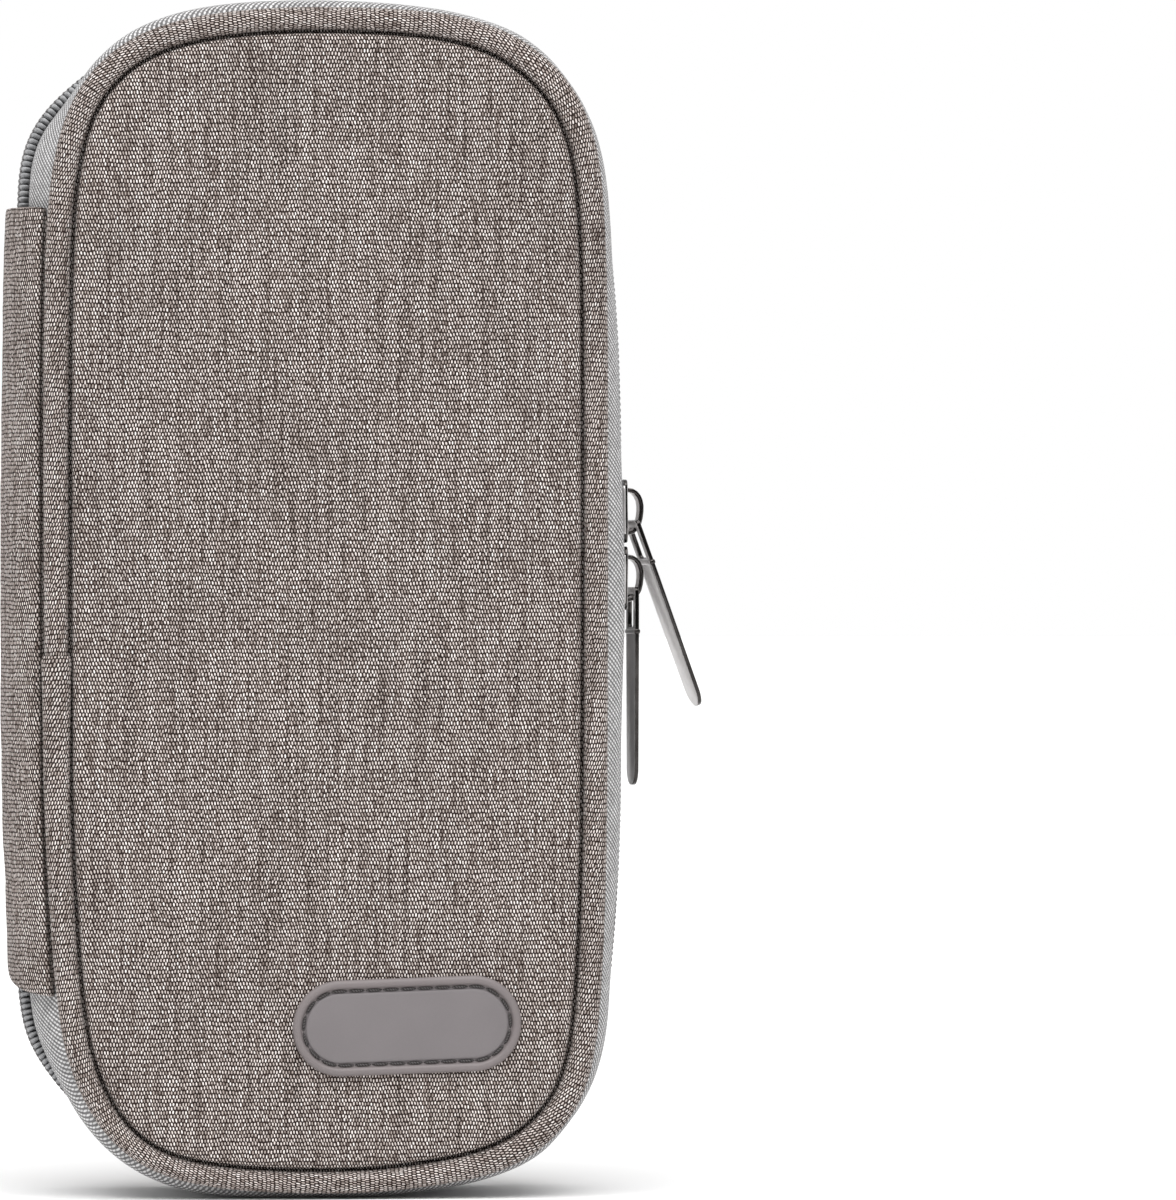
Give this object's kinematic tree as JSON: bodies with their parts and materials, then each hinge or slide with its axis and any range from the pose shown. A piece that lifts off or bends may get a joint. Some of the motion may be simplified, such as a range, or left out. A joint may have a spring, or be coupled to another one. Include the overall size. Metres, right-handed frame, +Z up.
{
  "type": "insulin cooling case",
  "caption": "Soft insulated zip case that opens like a book, with foil lining, mesh pockets, pen loops, gel packs in foil pockets and zip pulls.",
  "frame": {"origin": "on the surface that the case stands on, below the middle of its overall outline, with the zip's parting plane at y = 0", "axes": "+X to the right seen from the front panel (spine at -X, zip pulls at +X), +Y from the front panel to the back panel, +Z up along the case's length"},
  "size_m": [0.118, 0.0433, 0.2],
  "materials": {
    "melange_fabric": "matte",
    "zip_tape": "matte",
    "zip_coil": "satin",
    "foil_lining": "gloss",
    "insulating_foam": "matte",
    "pocket_mesh": "matte",
    "elastic": "matte",
    "gel_pouch": "satin",
    "badge_rubber": "matte",
    "zip_metal": "polished"
  },
  "bodies": {
    "base": {"back_panel": "melange_fabric", "back_foam": "insulating_foam", "back_floor_lining": "foil_lining", "back_wall_lining": "foil_lining", "back_piping": "melange_fabric", "back_zip_tape": "zip_tape", "back_zip_chain": "zip_coil", "back_foil_pocket": "foil_lining", "back_mesh_pocket": "pocket_mesh", "back_mesh_elastic": "elastic", "pen_loop_strap": "elastic"},
    "spine": {"spine_panel": "melange_fabric", "spine_lining": "foil_lining"},
    "lid": {"front_panel": "melange_fabric", "front_foam": "insulating_foam", "front_floor_lining": "foil_lining", "front_wall_lining": "foil_lining", "front_piping": "melange_fabric", "front_zip_tape": "zip_tape", "front_zip_chain": "zip_coil", "front_foil_pocket": "foil_lining", "front_mesh_pocket": "pocket_mesh", "front_mesh_elastic": "elastic", "badge": "badge_rubber"},
    "back_pack": {"back_gel_pack": "gel_pouch"},
    "front_pack": {"front_gel_pack": "gel_pouch"},
    "upper_slider": {"upper_slider_body": "zip_metal", "upper_slider_bail": "zip_metal"},
    "lower_slider": {"lower_slider_body": "zip_metal", "lower_slider_bail": "zip_metal"},
    "upper_pull": {"upper_pull": "zip_metal"},
    "lower_pull": {"lower_pull": "zip_metal"}
  },
  "joints": [
    {"name": "spine_fold", "type": "hinge", "parent": "base", "child": "spine", "pos_m": [-0.05293, 0.018, 0.1], "axis": [0, 0, -1], "range_deg": [0, 90]},
    {"name": "lid_fold", "type": "hinge", "parent": "spine", "child": "lid", "pos_m": [-0.05293, -0.018, 0.1], "axis": [0, 0, -1], "range_deg": [0, 90]},
    {"name": "upper_slider_slide", "type": "slide", "parent": "base", "child": "upper_slider", "axis": [0, 0, 1], "range_m": [0, 0.024]},
    {"name": "lower_slider_slide", "type": "slide", "parent": "base", "child": "lower_slider", "axis": [0, 0, -1], "range_m": [0, 0.036]},
    {"name": "lower_pull_swing", "type": "hinge", "parent": "lower_slider", "child": "lower_pull", "pos_m": [0.04717, 0, 0.1017], "axis": [0.1392, -0.9903, 0], "range_deg": [0, 90]},
    {"name": "upper_pull_swing", "type": "hinge", "parent": "upper_slider", "child": "upper_pull", "pos_m": [0.04717, 0, 0.113], "axis": [0.2079, -0.9781, 0], "range_deg": [0, 69.5]},
    {"name": "back_pack_slide", "type": "slide", "parent": "base", "child": "back_pack", "axis": [0, 0, 1], "range_m": [0, 0.008]},
    {"name": "front_pack_slide", "type": "slide", "parent": "lid", "child": "front_pack", "axis": [0, 0, 1], "range_m": [0, 0.008]}
  ],
  "couplings": [
    {"joint": "lid_fold", "follows": "spine_fold", "ratio": 1},
    {"joint": "upper_pull_swing", "follows": "lower_pull_swing", "ratio": 0.7722}
  ]
}
